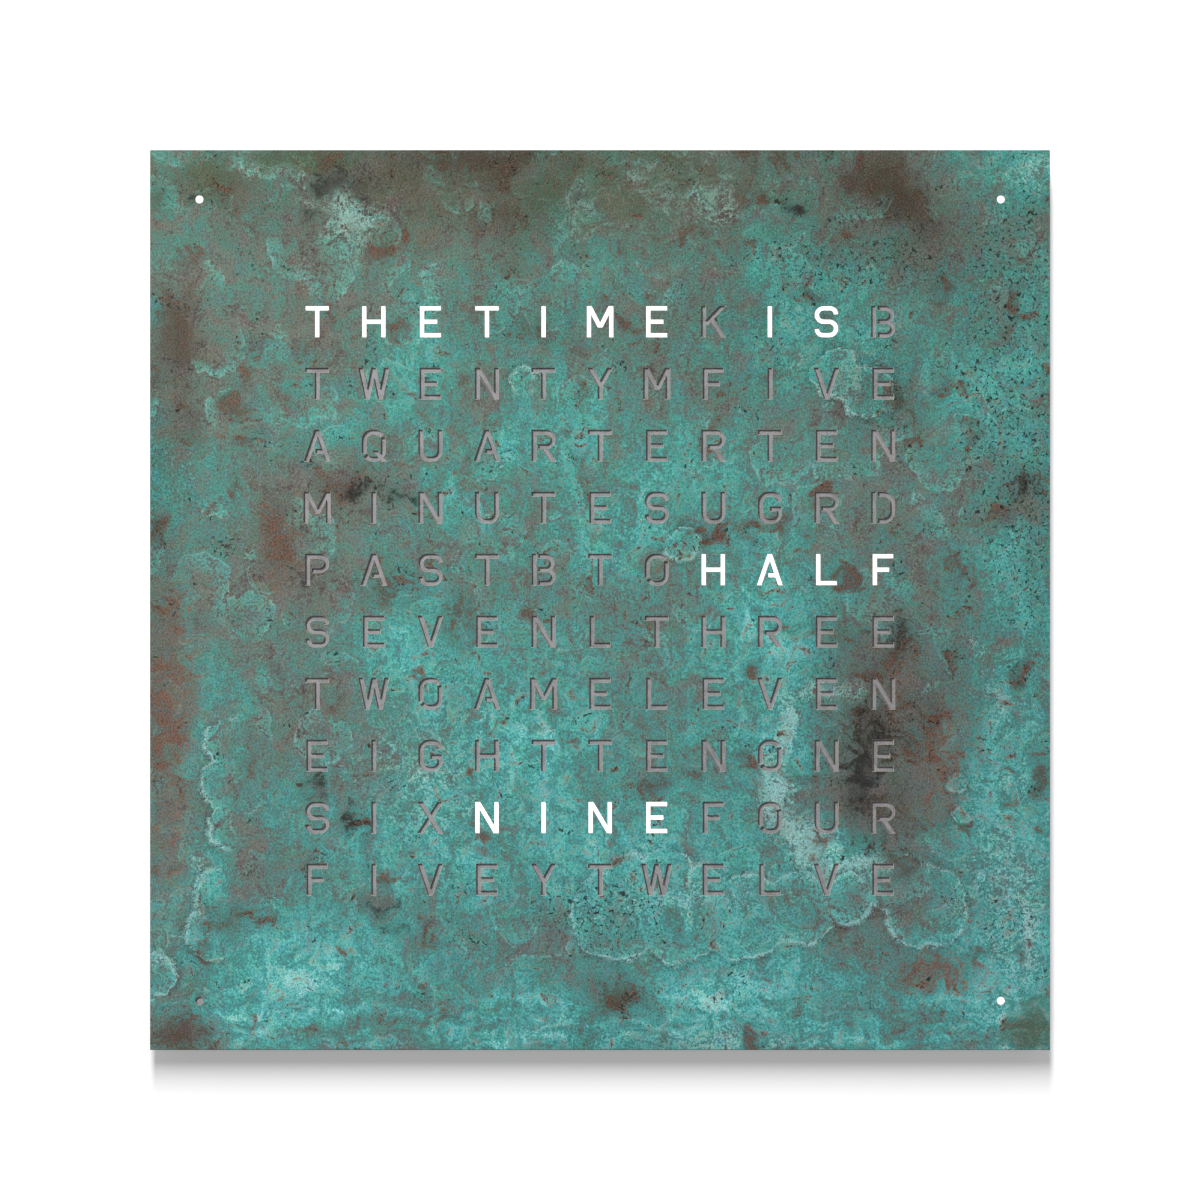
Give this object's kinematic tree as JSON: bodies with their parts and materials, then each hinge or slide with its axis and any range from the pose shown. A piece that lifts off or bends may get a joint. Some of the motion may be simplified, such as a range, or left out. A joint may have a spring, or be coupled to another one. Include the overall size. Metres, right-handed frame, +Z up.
{
  "type": "word clock",
  "caption": "Square wall word clock: patinated copper letter plate on a shallow black frame, magnetic front, LED letter grid, keyhole hangers.",
  "frame": {"origin": "centre of the rear panel's outer face, which faces the wall", "axes": "+X right and +Z up as seen from the front, +Y back towards the wall; the front faces -Y"},
  "size_m": [0.45, 0.02, 0.45],
  "materials": {
    "patina_copper": "mottled green and brown patina, matt",
    "opal_sheet": "satin translucent sheet",
    "keeper_steel": "plain strip",
    "black_lacquer": "black satin lacquer",
    "magnet_nickel": "nickel plated",
    "carrier_plastic": "fine moulded texture",
    "grid_plastic": "fine moulded texture",
    "circuit_board": "green solder mask",
    "black_plastic": "satin",
    "cell_steel": "satin",
    "ribbon_grey": "ribbed",
    "lead_black": "satin",
    "lead_grey": "satin",
    "clear_rod": "polished clear",
    "rear_board": "fine black powder coat",
    "screw_black": "black zinc",
    "bumper_rubber": "matt",
    "hanger_zinc": "zinc plated",
    "button_plastic": "satin",
    "plunger_white": "satin"
  },
  "bodies": {
    "housing": {"carrier_panel": "carrier_plastic", "light_grid": "grid_plastic", "led_board": "circuit_board", "controller_board": "circuit_board", "coin_cell_holder": "black_plastic", "coin_cell": "cell_steel", "ribbon_cable": "ribbon_grey", "power_lead": "lead_black", "button_lead": "lead_grey", "dc_inlet": "black_plastic", "cable_well": "carrier_plastic", "button_board": "circuit_board", "sensor_light_guide": "clear_rod", "rear_panel": "rear_board", "rail_top": "black_lacquer", "rail_right": "black_lacquer", "rail_bottom": "black_lacquer", "rail_left": "black_lacquer", "magnet_top_1": "magnet_nickel", "magnet_top_2": "magnet_nickel", "magnet_right_1": "magnet_nickel", "magnet_right_2": "magnet_nickel", "magnet_bottom_1": "magnet_nickel", "magnet_bottom_2": "magnet_nickel", "magnet_left_1": "magnet_nickel", "magnet_left_2": "magnet_nickel", "corner_light_top_left": "circuit_board", "corner_light_top_right": "circuit_board", "corner_light_bottom_right": "circuit_board", "corner_light_bottom_left": "circuit_board", "rear_screw_top_1": "screw_black", "rear_screw_top_2": "screw_black", "rear_screw_right_1": "screw_black", "rear_screw_right_2": "screw_black", "rear_screw_bottom_1": "screw_black", "rear_screw_bottom_2": "screw_black", "rear_screw_left_1": "screw_black", "rear_screw_left_2": "screw_black", "wall_bumper_top_left": "bumper_rubber", "wall_bumper_top_right": "bumper_rubber", "wall_bumper_bottom_right": "bumper_rubber", "wall_bumper_bottom_left": "bumper_rubber", "hanger_plate_left": "hanger_zinc", "hanger_plate_right": "hanger_zinc"},
    "cover": {"front_cover": "patina_copper", "letter_diffuser": "opal_sheet", "keeper_strip_top": "keeper_steel", "keeper_strip_right": "keeper_steel", "keeper_strip_bottom": "keeper_steel", "keeper_strip_left": "keeper_steel"},
    "mode_key": {"mode_button": "button_plastic", "mode_plunger": "plunger_white"},
    "plus_key": {"plus_button": "button_plastic", "plus_plunger": "plunger_white"},
    "minus_key": {"minus_button": "button_plastic", "minus_plunger": "plunger_white"}
  },
  "joints": [
    {"name": "cover_pull_off", "type": "slide", "parent": "housing", "child": "cover", "axis": [0, -1, 0], "range_m": [0, 0.05]},
    {"name": "mode_press", "type": "slide", "parent": "housing", "child": "mode_key", "axis": [0, 0, 1], "range_m": [0, 0.0006], "stiffness_N_per_m": 800, "springref_m": -0.0005},
    {"name": "plus_press", "type": "slide", "parent": "housing", "child": "plus_key", "axis": [0, 0, 1], "range_m": [0, 0.0006], "stiffness_N_per_m": 800, "springref_m": -0.0005},
    {"name": "minus_press", "type": "slide", "parent": "housing", "child": "minus_key", "axis": [0, 0, 1], "range_m": [0, 0.0006], "stiffness_N_per_m": 800, "springref_m": -0.0005}
  ]
}
